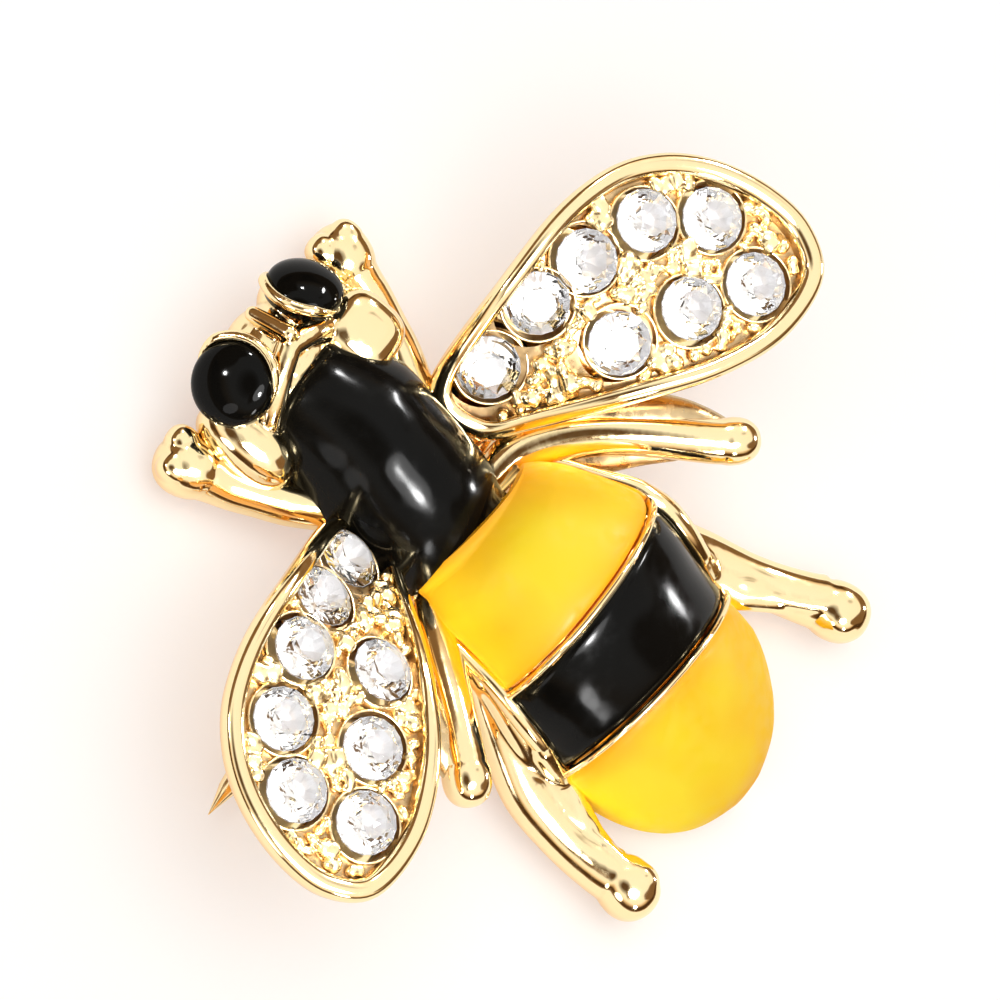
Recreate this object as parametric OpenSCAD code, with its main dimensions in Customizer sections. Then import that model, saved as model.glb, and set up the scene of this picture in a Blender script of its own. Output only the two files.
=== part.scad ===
// Bee brooch: a cast gold-coloured body with enamel fields, two stone-set wings
// and a plain bar pin behind. Millimetres, +Z up, +Y towards the head, and the
// origin on the surface that it lies on, under the middle of the whole brooch.

/* [Body] */
// Length of the thorax, from the neck to the waist
thorax_l = 9.2; // [8.6:0.1:9.8]
// Width of the thorax at its widest
thorax_w = 6.8; // [6.5:0.1:7.2]
// Height of the thorax crown above the surface
thorax_top = 5.1; // [4.9:0.1:5.6]
// Length of the abdomen, from the waist to the tail
abdomen_l = 14.4; // [13.6:0.1:15]
// Width of the abdomen at its widest
abdomen_w = 9.9; // [9:0.1:10.6]
// Height of the abdomen crown above the surface
abdomen_top = 6.9; // [6.4:0.1:7.4]

/* [Enamel] */
// Thickness of the enamel fields
enamel_t = 0.6; // [0.4:0.05:0.8]
// Gap between an enamel field and the metal round it
enamel_gap = 0.04; // [0.03:0.01:0.08]
// Width of the raised gold lines between the fields
line_w = 0.4; // [0.3:0.05:0.6]
// How far the gold lines stand proud of the enamel
line_proud = 0.08; // [0.05:0.01:0.15]
// Distance of the first gold line behind the waist
first_line = 4.3; // [4:0.1:4.6]
// Distance of the second gold line behind the waist
second_line = 8.4; // [8:0.1:8.8]

/* [Wings] */
// Length of a wing from its root to its tip
wing_l = 12.6; // [12:0.1:13]
// Width that the wing's outline is drawn to
wing_w = 10; // [9.4:0.1:10.4]
// Thickness of a wing from its back to its rim
wing_t = 1.4; // [1.35:0.05:1.6]
// Distance of the wing's root from the middle line
wing_root_x = 2.8; // [2.6:0.1:2.9]
// Distance of the wing's root in front of the waist
wing_root_y = 2.9; // [2.7:0.1:3.1]
// Height of the wing's rim at its tip
wing_tip_z = 6.65; // [6.4:0.05:7]
// How far the root of a wing lies below its tip
wing_drop = 4.05; // [3.8:0.05:4.2]
// Length over which a wing rises from its root
wing_shoulder = 3; // [2.8:0.1:3.2]
// Width of the rim along the front edge
rim_w = 0.6; // [0.5:0.02:0.7]
// Width of the rim round the tip
rim_tip_w = 0.8; // [0.7:0.05:0.9]
// How far the wing's back is drawn in from its edge
back_inset = 0.5; // [0.3:0.05:0.6]
// Depth of the stone-set floor below the rim
floor_d = 0.6; // [0.4:0.05:0.7]
// Diameter of a gold grain on the floor
grain_d = 0.55; // [0.5:0.01:0.6]
// Spacing of the gold grains
grain_pitch = 0.8; // [0.75:0.05:1]

/* [Stones] */
// Diameter of a stone
stone_d = 2.3; // [2.1:0.05:2.35]
// Height of a stone from its point to its table
stone_h = 1.15; // [1:0.05:1.2]
// Gap between a stone and its seat
stone_gap = 0.05; // [0.03:0.01:0.07]

/* [Head] */
// Diameter of an eye
eye_d = 2.8; // [2.6:0.1:2.9]
// Distance of an eye from the middle line
eye_x = 2.2; // [2.1:0.05:2.4]
// Distance of the eyes in front of the waist
eye_y = 10.45; // [10.2:0.05:10.6]
// Height of the eyes above the surface
eye_z = 3.4; // [3.2:0.1:3.8]
// How far an eye looks out to the side, in degrees
eye_turn = 35; // [30:1:40]
// How far an eye looks ahead, in degrees
eye_ahead = 27; // [20:1:30]

/* [Legs] */
// Radius of a front foot
front_foot_r = 1.15; // [1.05:0.05:1.2]
// Radius of a middle foot
middle_foot_r = 0.95; // [0.85:0.05:1]
// Radius of a hind foot
hind_foot_r = 1.25; // [1.15:0.05:1.3]
// Radius of a leg along its shaft
leg_r = 0.68; // [0.6:0.02:0.75]

/* [Pin] */
// Diameter of the pin wire
pin_d = 0.8; // [0.7:0.05:0.9]
// Height of the pin wire's middle above the surface
pin_z = 0.85; // [0.75:0.05:0.9]
// Distance from the middle line to the pin's point
pin_reach = 14.3; // [13.6:0.1:14.5]
// Distance from the middle line to each post of the pin
post_x = 9.2; // [8.8:0.1:9.6]
// Diameter of the posts that carry the pin
post_d = 1.6; // [1.4:0.1:1.8]
// Gap between a post and the boss that it is fastened to
pin_gap = 0.05; // [0.03:0.01:0.1]

/* [Hidden] */
gold = "gold";
black = [0.06, 0.06, 0.07];
yellow = [1, 0.78, 0.1];
clear = [0.92, 0.95, 1];

// Thorax sections from waist to neck: place along the length, half width as a
// share of the width, then the heights of the underside, the widest line and the
// crown as shares of the thorax's height, and where the enamel's edge lies, in
// degrees above the widest line
thorax_rows = [
    [0.00, 0.34, 0.22, 0.30, 0.78, 2],
    [0.08, 0.375, 0.24, 0.31, 0.85, 4],
    [0.15, 0.405, 0.24, 0.30, 0.90, 20],
    [0.26, 0.445, 0.23, 0.29, 0.955, 25],
    [0.42, 0.475, 0.19, 0.26, 0.99, 25],
    [0.50, 0.49, 0.16, 0.23, 1.00, 12],
    [0.58, 0.495, 0.12, 0.21, 0.985, 4],
    [0.68, 0.485, 0.10, 0.20, 0.95, 3],
    [0.79, 0.435, 0.10, 0.20, 0.88, 3],
    [0.90, 0.37, 0.14, 0.24, 0.78, 3],
    [1.00, 0.275, 0.20, 0.30, 0.63, 3]];
// Abdomen sections from waist to tail, in the same columns
abdomen_rows = [
    [0.00, 0.32, 0.12, 0.20, 0.68, 12],
    [0.06, 0.38, 0.14, 0.27, 0.82, 12],
    [0.14, 0.43, 0.16, 0.34, 0.93, 13],
    [0.25, 0.47, 0.16, 0.41, 1.00, 14],
    [0.38, 0.50, 0.12, 0.38, 0.98, 14],
    [0.50, 0.50, 0.08, 0.28, 0.90, 12],
    [0.61, 0.49, 0.04, 0.19, 0.79, 5],
    [0.72, 0.46, 0.02, 0.13, 0.65, -8],
    [0.82, 0.405, 0.01, 0.10, 0.50, -16],
    [0.90, 0.335, 0.01, 0.08, 0.37, -20],
    [0.96, 0.25, 0.01, 0.08, 0.26, -20],
    [1.00, 0.10, 0.02, 0.08, 0.15, -20]];
// Degrees between an enamel field's edge and the metal's
edge_step = 1.5;

// Wing outline: place along the wing, and across it from the root's middle line
wing_rows = [
    [0.00, 0.10], [0.18, 0.20], [0.50, 0.238], [0.73, 0.182], [0.88, 0.060],
    [0.98, -0.12], [1.03, -0.34], [1.02, -0.54], [0.925, -0.69], [0.72, -0.705],
    [0.51, -0.605], [0.31, -0.435], [0.11, -0.24], [0.00, -0.11]];
// Stone places on the wing, from the root round the tip and back
stone_rows = [
    [0.125, 0.035], [0.310, 0.070], [0.500, 0.045], [0.700, -0.050],
    [0.850, -0.235], [0.785, -0.515], [0.590, -0.375], [0.385, -0.245]];
// Leg points from the body to the foot: distances from the middle line and from
// the waist, and height, as shares of the width, length and height of the thorax
// or abdomen that the leg grows from, then thickness as a share of the leg's
front_leg_rows = [[0.33, 0.48, 0.29, 1.1], [0.55, 0.75, 0.25, 1.15], [0.69, 0.93, 0.24, 1.4]];
middle_leg_rows = [[0.34, 0.06, 0.355, 1.25], [0.50, 0.13, 0.44, 1.3], [0.62, 0.21, 0.52, 1.25],
    [0.72, 0.285, 0.595, 1.25]];
hind_leg_rows = [[0.395, 0.18, 0.435, 1.05], [0.455, 0.32, 0.34, 1.25], [0.495, 0.45, 0.24, 1.45]];
front_foot_row = [0.73, 1.03];
middle_foot_row = [0.81, 0.37, 0.635];
hind_knee_rows = [[0.525, 0.58], [0.56, 0.69], [0.605, 0.785]];
hind_foot_row = [0.655, 0.87];
knee_share = 1.55;
hind_foot_rise = 1.15;
// Balls that the head is blended from: distance from the middle line, place along
// the bee from the eyes' middle, height and radius, in eye diameters
head_rows = [[0, -0.27, 0.93, 0.62], [0.59, 0, 0.84, 0.45], [-0.59, 0, 0.84, 0.45]];
// The ridge beside the middle of the face, in the same columns
ridge_rows = [[0.15, 0.08, 1.34, 0.17], [0.25, 0.45, 0.93, 0.2]];
// A shoulder, from its outer end to the neck: the same columns, counted from the
// neck in thorax widths
shoulder_rows = [[0.435, -0.2, 0.375, 0.17], [0.21, -0.04, 0.425, 0.19]];
socket_wall = 0.3;
socket_depth = 1.7;
leg_facets = 10;
wing_steps = 4;
rim_crest = 0.22;
facets = 16;
stone_sink = 0.28;
crown_share = 0.32;
girdle_share = 0.1;
table_share = 0.58;
eye_sink = 0.6;
eye_rise = 0.75;
point_l = 1.8;

nose_r = 1;
nose_reach = 0.95;
nose_facets = 12;
waist_y = (abdomen_l - eye_y - nose_reach - nose_r*cos(180/nose_facets))/2;
neck_y = waist_y + thorax_l;
tail_y = waist_y - abdomen_l;
pin_y = waist_y + 1.3;
channel_top = 1.5;
channel_w = pin_d + 1;
boss_d = post_d + 0.6;
boss_z = 3.9;
seat_r = stone_d/2 + stone_gap;

// Body sections at y: half width, underside, widest line, crown and enamel edge
function column(rows, s, k) = lookup(s, [for (r = rows) [r[0], r[k]]]);
function section(rows, s, w, h) =
    [w*column(rows, s, 1), h*column(rows, s, 2), h*column(rows, s, 3),
     h*column(rows, s, 4), column(rows, s, 5)];
function abdomen_at(y) = section(abdomen_rows, (waist_y - y)/abdomen_l, abdomen_w, abdomen_top);
function thorax_at(y) = section(thorax_rows, (y - waist_y)/thorax_l, thorax_w, thorax_top);

// One point of a section at angle a, drawn in by inset
function section_point(s, y, a, inset) =
    [(s[0] - inset)*cos(a), y,
     s[2] + (sin(a) > 0 ? (s[3] - s[2] - inset)*sin(a) : (s[2] - s[1])*sin(a))];
// The angles above an enamel edge, and the angles below it
function over(edge) = [for (k = [0:12]) edge + k*(180 - 2*edge)/12];
function under(edge) = [for (k = [0:12])
    180 - edge + edge_step + k*(180 + 2*edge - 2*edge_step)/12];
// A closed section of the casting, sunk by inset where the enamel lies
function metal_ring(s, y, inset) = concat(
    [for (a = over(s[4])) section_point(s, y, a, inset)],
    [for (a = under(s[4])) section_point(s, y, a, 0)]);
// A closed section of an enamel field
function enamel_ring(s, y) = concat(
    [for (a = over(s[4] + edge_step)) section_point(s, y, a, 0)],
    [for (k = [12:-1:0]) section_point(s, y, over(s[4] + edge_step)[k], enamel_t)]);

// A solid skin through rings that all have the same number of points
module loft(rings) {
    n = len(rings[0]);
    m = len(rings);
    polyhedron(
        points = [for (r = rings) each r],
        faces = concat(
            [[for (j = [0:n - 1]) j]],
            [[for (j = [n - 1:-1:0]) (m - 1)*n + j]],
            [for (i = [0:m - 2], j = [0:n - 1]) let (k = (j + 1) % n)
                each [[i*n + j, (i + 1)*n + j, i*n + k],
                      [i*n + k, (i + 1)*n + j, (i + 1)*n + k]]]));
}

// Each field's bed, from its front end to its back end
thorax_front = neck_y - 0.35;
tail_end = tail_y + 0.35;
line_half = line_w/2;
first_y = waist_y - first_line;
second_y = waist_y - second_line;
thorax_span = [thorax_front - enamel_gap, waist_y + 0.1];
front_span = [waist_y, first_y + line_half + enamel_gap];
band_span = [first_y - line_half - enamel_gap, second_y + line_half + enamel_gap];
tail_span = [second_y - line_half - enamel_gap, tail_end + enamel_gap];

// Even places along a span, its two ends drawn in by trim
function places(span, n, trim = [0, 0]) = [for (k = [0:n])
    span[0] + (span[1] - span[0])*k/n + (k == 0 ? -trim[0] : k == n ? trim[1] : 0)];

// Sections of the casting at places ys: under an enamel field, or left proud
function bed(rows_at, ys) = [for (y = ys) metal_ring(rows_at(y), y, enamel_t + 2*enamel_gap)];
function full(rows_at, ys, proud) = [for (y = ys) metal_ring(rows_at(y), y, -proud)];
function field(rows_at, ys) = [for (y = ys) enamel_ring(rows_at(y), y)];
abdomen = function (y) abdomen_at(y);
thorax = function (y) thorax_at(y);

module body_metal() {
    loft(concat(
        bed(abdomen, places(front_span, 5)),
        full(abdomen, [first_y + line_half, first_y - line_half], line_proud),
        bed(abdomen, places(band_span, 4)),
        full(abdomen, [second_y + line_half, second_y - line_half], line_proud),
        bed(abdomen, places(tail_span, 6)),
        full(abdomen, [tail_end, tail_y], 0)));
    loft(concat(
        full(thorax, [neck_y, thorax_front], 0),
        bed(thorax, places(thorax_span, 11)),
        bed(thorax, [waist_y - 1.2])));
}

// Wing outline as a smooth closed curve through its rows
function wing_point(i) = let (r = wing_rows[(i + len(wing_rows)) % len(wing_rows)])
    [r[0]*wing_l, r[1]*wing_w];
function smooth(p, q, r, s, t) =
    0.5*((2*q) + (r - p)*t + (2*p - 5*q + 4*r - s)*t*t + (3*q - p - 3*r + s)*t*t*t);
function wing_outline() = [for (i = [0:len(wing_rows) - 1], k = [0:wing_steps - 1])
    smooth(wing_point(i - 1), wing_point(i), wing_point(i + 1), wing_point(i + 2),
        k/wing_steps)];
outline = wing_outline();
count = len(outline);
function inward(i) = let (d = outline[(i + 1) % count] - outline[(i + count - 1) % count])
    [d[1], -d[0]]/norm(d);
// The rim grows from the front edge's width to the tip's
function rim_at(i) = rim_w + (rim_tip_w - rim_w)*max(0, min(1, outline[i][0]/wing_l));
// Height of the rim and its slope in degrees, at a distance along the wing
function wing_z(u) = wing_tip_z - wing_drop*exp(-pow(max(u, 0)/wing_shoulder, 1.4));
function wing_slope(u) = atan((wing_z(u + 0.1) - wing_z(u - 0.1))/0.2);
// Height at a depth below the rim, taken square to the slope
function wing_below(u, depth) = wing_z(u) - depth/cos(wing_slope(u));
function wing_ring(share, inset, depth) = [for (i = [0:count - 1])
    let (p = outline[i] + inward(i)*(share*rim_at(i) + inset)) [p[0], p[1], wing_below(p[0], depth)]];
function stone_at(k) = [stone_rows[k][0]*wing_l, stone_rows[k][1]*wing_w];
function inside(p, ring) = let (n = len(ring))
    len([for (i = [0:n - 1]) let (a = ring[i], b = ring[(i + 1) % n])
        if ((a[1] > p[1]) != (b[1] > p[1])
            && p[0] < (b[0] - a[0])*(p[1] - a[1])/(b[1] - a[1]) + a[0]) 1]) % 2 == 1;

// Places a child on the right wing, or on the left one
module on_wing(side) {
    mirror([side < 0 ? 1 : 0, 0, 0])
        translate([wing_root_x, waist_y + wing_root_y, 0])
            children();
}

// Places a child at stone k, its own Z along the stone's axis
module at_stone(k) {
    translate([stone_at(k)[0], stone_at(k)[1], wing_z(stone_at(k)[0])])
        rotate([0, -wing_slope(stone_at(k)[0]), 0])
            children();
}

module grains() {
    bed_ring = wing_ring(1.35, 0, 0);
    nx = floor(wing_l/grain_pitch);
    ny = floor(wing_w/grain_pitch);
    for (i = [0:nx], j = [-ny:ny]) {
        p = [(i + (j % 2 == 0 ? 0 : 0.5))*grain_pitch, j*grain_pitch*0.87];
        clear_of = min([for (k = [0:7]) norm(p - stone_at(k))]);
        if (inside(p, bed_ring) && clear_of > seat_r + grain_d*0.3)
            translate([p[0], p[1], wing_below(p[0], floor_d)]) sphere(d = grain_d, $fn = 6);
    }
}

// The room that a stone takes in its seat: a cone under a round well
module seat() {
    depth = stone_h*(1 - crown_share);
    translate([0, 0, -stone_sink - depth - stone_gap]) {
        cylinder(r1 = seat_r/4, r2 = seat_r, h = depth*0.85, $fn = facets);
        translate([0, 0, depth*0.85 - 0.01]) cylinder(r = seat_r, h = wing_t, $fn = facets);
    }
}

module wing_metal() {
    difference() {
        union() {
            translate([post_x - wing_root_x, pin_y - waist_y - wing_root_y, boss_z])
                cylinder(d = boss_d, h = wing_below(post_x - wing_root_x, wing_t/2) - boss_z, $fn = 24);
            loft([
                wing_ring(1, 0, floor_d),
                wing_ring(1, 0, rim_crest),
                wing_ring(0.7, 0, 0),
                wing_ring(0.3, 0, 0),
                wing_ring(0, 0, rim_crest),
                wing_ring(0, 0, wing_t/2),
                wing_ring(0, back_inset, wing_t)]);
        }
        for (k = [0:7])
            at_stone(k) seat();
    }
    grains();
}

// A round-ended leg through points that each hold a place and a radius, made
// thicker all round by grow
module leg(points, grow) {
    for (k = [0:len(points) - 2])
        hull() {
            translate(points[k][0]) sphere(r = points[k][1] + grow, $fn = leg_facets);
            translate(points[k + 1][0]) sphere(r = points[k + 1][1] + grow, $fn = leg_facets);
        }
}

// Height of a leg's middle where it rests on the surface
function resting(r) = r*cos(180/leg_facets);
function leg_points(rows, w, l, h) = [for (r = rows)
    [[r[0]*w, waist_y + r[1]*l, r[2]*h], r[3]*leg_r]];

module legs(grow) {
    knee_r = leg_r*knee_share;
    for (side = [-1, 1]) mirror([side < 0 ? 1 : 0, 0, 0]) {
        leg(concat(leg_points(front_leg_rows, thorax_w, thorax_l, thorax_top),
            [[[front_foot_row[0]*thorax_w, waist_y + front_foot_row[1]*thorax_l,
               resting(front_foot_r)], front_foot_r]]), grow);
        leg(concat(leg_points(middle_leg_rows, abdomen_w, -abdomen_l, abdomen_top),
            [[[middle_foot_row[0]*abdomen_w, waist_y - middle_foot_row[1]*abdomen_l,
               middle_foot_row[2]*abdomen_top], middle_foot_r]]), grow);
        leg(concat(leg_points(hind_leg_rows, abdomen_w, -abdomen_l, abdomen_top),
            [for (r = hind_knee_rows)
                [[r[0]*abdomen_w, waist_y - r[1]*abdomen_l, resting(knee_r)], knee_r]],
            [[[hind_foot_row[0]*abdomen_w, waist_y - hind_foot_row[1]*abdomen_l,
               hind_foot_r*hind_foot_rise], hind_foot_r]]), grow);
    }
}

// Places a child at an eye, its own Z looking out of the socket
module at_eye(side) {
    mirror([side < 0 ? 1 : 0, 0, 0])
        translate([eye_x, waist_y + eye_y, eye_z])
            rotate([-eye_ahead, eye_turn, 0])
                children();
}

// One solid drawn over the balls of a table, which may be made larger by grow
module blend(rows, unit, start, grow) {
    hull() for (r = rows)
        translate([r[0]*unit, start + r[1]*unit, r[2]*unit]) sphere(r = r[3]*unit + grow, $fn = 12);
}

// The head, the shoulders behind it, two ridges on the face and the eye sockets
module head_metal(grow) {
    middle = waist_y + eye_y;
    hull() {
        blend(head_rows, eye_d, middle, grow);
        translate([0, middle + nose_reach, 2*nose_r]) sphere(r = nose_r + grow, $fn = nose_facets);
    }
    for (side = [-1, 1]) mirror([side < 0 ? 1 : 0, 0, 0]) {
        blend(shoulder_rows, thorax_w, neck_y, grow);
        blend(ridge_rows, eye_d, middle, 0);
    }
    for (side = [-1, 1]) at_eye(side) translate([0, 0, -socket_depth])
        cylinder(r1 = eye_d/2 - socket_wall/2, r2 = eye_d/2 + socket_wall + grow,
            h = socket_depth - socket_wall/2, $fn = 20);
}

module casting() {
    color(gold) difference() {
        union() {
            body_metal();
            on_wing(1) wing_metal();
            on_wing(-1) wing_metal();
            legs(0);
            head_metal(0);
        }
        for (side = [-1, 1]) at_eye(side) translate([0, 0, -eye_sink - enamel_gap])
            cylinder(d = eye_d + 4*enamel_gap, h = eye_d, $fn = 24);
        translate([-thorax_w, pin_y - channel_w/2, -1]) cube([2*thorax_w, channel_w, channel_top + 1]);
    }
}

// An enamel field through rings, cut back where a leg or the head grows out
module enamel(rings) {
    difference() {
        loft(rings);
        legs(2*enamel_gap);
        head_metal(2*enamel_gap);
    }
}

module thorax_enamel() {
    color(black) enamel(field(thorax, places(thorax_span, 11, [enamel_gap, 0])));
}

module front_enamel() {
    color(yellow) enamel(field(abdomen, places(front_span, 5, [0, enamel_gap])));
}

module band_enamel() {
    color(black) enamel(field(abdomen, places(band_span, 4, [enamel_gap, enamel_gap])));
}

module tail_enamel() {
    color(yellow) enamel(field(abdomen, places(tail_span, 6, [enamel_gap, enamel_gap])));
}

module eye(side) {
    color(black) at_eye(side) translate([0, 0, -eye_sink]) rotate_extrude($fn = 64) polygon(concat(
        [[0, 0], [eye_d/2, 0]],
        [for (a = [0:10:90]) [eye_d/2*cos(a), eye_sink - 0.05 + eye_rise*sin(a)]]));
}

// A cut stone: table, eight star facets, sixteen girdle facets and a point
module stone(side, k) {
    r = stone_d/2;
    ring = [for (i = [0:facets - 1]) i*360/facets];
    table_ring = [for (i = [0:7]) i*45 + 22.5];
    girdle_low = stone_h*(1 - crown_share - girdle_share);
    girdle_high = stone_h*(1 - crown_share);
    points = concat(
        [[0, 0, 0]],
        [for (a = ring) [r*cos(a), r*sin(a), girdle_low]],
        [for (a = ring) [r*cos(a), r*sin(a), girdle_high]],
        [for (a = table_ring) [r*table_share*cos(a), r*table_share*sin(a), stone_h]]);
    low = 1;
    high = low + facets;
    table = high + facets;
    faces = concat(
        [for (i = [0:facets - 1]) [0, low + i, low + (i + 1) % facets]],
        [for (i = [0:facets - 1]) let (j = (i + 1) % facets)
            each [[low + i, high + i, low + j], [low + j, high + i, high + j]]],
        [for (i = [0:7]) let (t = table + i, u = table + (i + 1) % 8, g = high + 2*i)
            each [[g, t, g + 1], [g + 1, t, high + (2*i + 2) % facets],
                  [high + (2*i + 2) % facets, t, u]]],
        [[for (i = [7:-1:0]) table + i]]);
    color(clear) on_wing(side) at_stone(k)
        translate([0, 0, -stone_sink - stone_h*(1 - crown_share)])
            polyhedron(points, faces);
}

// The pin: a pointed wire with a knuckle at one end, on two posts
module brooch_pin() {
    color("goldenrod") {
        for (x = [-post_x, post_x]) translate([x, pin_y, pin_z]) {
            cylinder(d = post_d, h = boss_z - pin_gap - pin_z, $fn = 32);
            translate([0, post_d/2, 0]) rotate([90, 0, 0]) cylinder(d = post_d, h = post_d, $fn = 32);
        }
        translate([-pin_reach, pin_y, pin_z]) rotate([0, 90, 0]) {
            cylinder(d1 = 0.1, d2 = pin_d, h = point_l, $fn = 24);
            translate([0, 0, point_l]) cylinder(d = pin_d, h = post_x + pin_reach - point_l, $fn = 24);
        }
    }
}

casting();
thorax_enamel();
front_enamel();
band_enamel();
tail_enamel();
eye(-1);  // eye_left
eye(1);  // eye_right
brooch_pin();
for (k = [0:7]) {
    stone(-1, k);
    stone(1, k);
}
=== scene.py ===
"""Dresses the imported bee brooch: polished casting, enamel, cut stones and pin.

Shapes are worked out in millimetres and stored in metres, in the frame of the
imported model: +Z away from the surface, +Y towards the head.
"""

import math
import random

import bmesh
import bpy
import numpy as np
from bpy.props import FloatProperty, FloatVectorProperty, IntProperty, PointerProperty
from mathutils import Matrix, Vector
from mathutils.geometry import delaunay_2d_cdt


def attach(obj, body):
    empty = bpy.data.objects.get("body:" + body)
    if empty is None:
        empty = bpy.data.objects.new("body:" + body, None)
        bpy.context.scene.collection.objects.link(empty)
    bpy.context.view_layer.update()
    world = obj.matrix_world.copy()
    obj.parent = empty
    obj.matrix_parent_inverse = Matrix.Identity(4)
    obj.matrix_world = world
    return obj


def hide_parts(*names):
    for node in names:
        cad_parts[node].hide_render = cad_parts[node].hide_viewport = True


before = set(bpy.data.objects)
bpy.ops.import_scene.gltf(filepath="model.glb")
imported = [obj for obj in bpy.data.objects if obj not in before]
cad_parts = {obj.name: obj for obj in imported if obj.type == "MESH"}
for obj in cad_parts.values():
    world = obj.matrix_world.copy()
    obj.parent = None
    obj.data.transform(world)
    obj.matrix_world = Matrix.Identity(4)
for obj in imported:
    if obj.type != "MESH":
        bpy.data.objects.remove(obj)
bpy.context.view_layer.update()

bl_info = {
    "name": "Bee brooch",
    "version": (1, 0, 0),
    "blender": (4, 5, 0),
    "location": "3D View > Sidebar > Bee brooch",
    "description": "Builds the visible pieces of an enamelled bee brooch",
    "category": "Object",
}

MM = 0.001

# Sections of the thorax from waist to neck: place along it, half width, then the
# heights of the underside, the widest line and the crown, and the enamel's edge
# in degrees above the widest line. Lengths are shares of the named sizes.
THORAX_ROWS = (
    (0.00, 0.385, 0.20, 0.28, 0.76, -4), (0.08, 0.425, 0.22, 0.29, 0.85, 0),
    (0.15, 0.45, 0.23, 0.29, 0.91, 6), (0.26, 0.46, 0.23, 0.29, 0.96, 10),
    (0.42, 0.47, 0.19, 0.26, 0.99, 8), (0.50, 0.475, 0.16, 0.23, 1.00, 3),
    (0.58, 0.475, 0.12, 0.21, 0.985, 0), (0.68, 0.455, 0.10, 0.20, 0.95, -2),
    (0.79, 0.42, 0.10, 0.20, 0.88, -2), (0.90, 0.37, 0.14, 0.24, 0.78, 0),
    (1.00, 0.275, 0.20, 0.30, 0.63, 0))
# Sections of the abdomen from waist to tail, in the same columns
ABDOMEN_ROWS = (
    (0.00, 0.335, 0.12, 0.20, 0.68, 10), (0.06, 0.39, 0.14, 0.27, 0.82, 11),
    (0.14, 0.43, 0.16, 0.34, 0.93, 13), (0.25, 0.47, 0.16, 0.41, 1.00, 14),
    (0.38, 0.50, 0.12, 0.38, 0.98, 14), (0.50, 0.50, 0.08, 0.26, 0.90, 12),
    (0.61, 0.49, 0.04, 0.18, 0.79, 2), (0.72, 0.465, 0.02, 0.13, 0.65, -14),
    (0.80, 0.425, 0.01, 0.11, 0.54, -22), (0.86, 0.375, 0.01, 0.09, 0.45, -26),
    (0.91, 0.315, 0.01, 0.08, 0.37, -28), (0.955, 0.23, 0.01, 0.08, 0.28, -28),
    (1.00, 0.08, 0.02, 0.08, 0.15, -28))
# Wing outline: place along the wing and across it, as shares of length and width
WING_ROWS = (
    (0.00, 0.10), (0.18, 0.20), (0.50, 0.238), (0.73, 0.182), (0.88, 0.060),
    (0.98, -0.12), (1.03, -0.34), (1.02, -0.54), (0.925, -0.69), (0.72, -0.705),
    (0.51, -0.605), (0.31, -0.435), (0.11, -0.24), (0.00, -0.11))
# Stone places on the wing, from the root round the tip and back
STONE_ROWS = (
    (0.125, 0.035), (0.310, 0.070), (0.500, 0.045), (0.700, -0.050),
    (0.850, -0.235), (0.785, -0.515), (0.590, -0.375), (0.385, -0.245))
# Rim section: share of the rim's width in from the outline, depth below the rim
RIM_ROWS = (
    (0.80, 1.38), (0.62, 1.34), (0.20, 1.08), (-0.02, 0.86), (-0.10, 0.70),
    (-0.13, 0.50), (-0.12, 0.32), (-0.05, 0.16), (0.06, 0.06), (0.20, 0.01),
    (0.36, 0.00), (0.52, 0.01), (0.68, 0.05), (0.80, 0.12), (0.88, 0.22), (0.92, 0.32))
# The wall inside the rim, down to the floor between the stones, darker with painted shade
WALL_ROWS = ((0.92, 0.32), (0.95, 0.46), (0.97, 0.60), (1.00, 0.70))
# Legs from the body to the foot: distance from the middle line, place along the
# bee, height, half width and half height; then the foot's middle and half sizes
LEGS = {
    "front_leg": (
        ((2.6, 5.3, 1.5, 0.85, 0.75), (3.5, 6.7, 1.38, 0.85, 0.76), (4.05, 7.85, 1.30, 0.84, 0.76),
         (4.45, 8.8, 1.24, 0.88, 0.80), (4.65, 9.6, 1.2, 0.98, 0.94), (4.9, 10.2, 1.2, 0.98, 0.96)),
        ((4.97, 10.5, 1.2), (1.13, 1.28, 1.12))),
    "middle_leg": (
        ((1.8, 1.0, 1.3, 0.85, 0.75), (3.4, 0.2, 1.85, 0.90, 0.80), (4.9, -0.9, 2.8, 0.92, 0.84),
         (6.1, -2.0, 3.6, 0.86, 0.82), (7.1, -3.1, 4.1, 0.84, 0.86), (7.8, -4.0, 4.35, 0.84, 0.88)),
        ((8.05, -4.3, 4.38), (0.88, 1.05, 0.92))),
    "hind_leg": (
        ((3.9, -1.6, 3.0, 0.70, 0.70), (4.4, -3.3, 2.4, 0.88, 0.82), (4.95, -4.9, 1.8, 0.96, 0.90),
         (5.65, -6.6, 1.35, 0.94, 0.90), (6.1, -8.4, 1.2, 0.88, 0.88), (6.4, -9.9, 1.25, 0.94, 0.94),
         (6.6, -11.0, 1.35, 1.04, 1.04)),
        ((6.67, -11.6, 1.42), (1.12, 1.25, 1.16))),
}
# Each eye's place beside its mirrored one, and its share of the named diameter
EYES = {"eye_left": ((-0.15, 0.0, 0.0), 1.09), "eye_right": ((0.13, -0.05, 0.0), 1.0)}
# How far each foot is bent out of its mirrored place, to the right and ahead, and
# how far the leg between bows to the right and ahead
BENT_FEET = {"hind_leg_left": (0.43, 0.02, -0.45, 0.0), "hind_leg_right": (0.48, -0.38, -0.40, 0.0),
             "middle_leg_left": (-0.16, 0.62, 0.0, 0.0), "middle_leg_right": (0.2, -0.05, 0.0, 1.3)}
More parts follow.
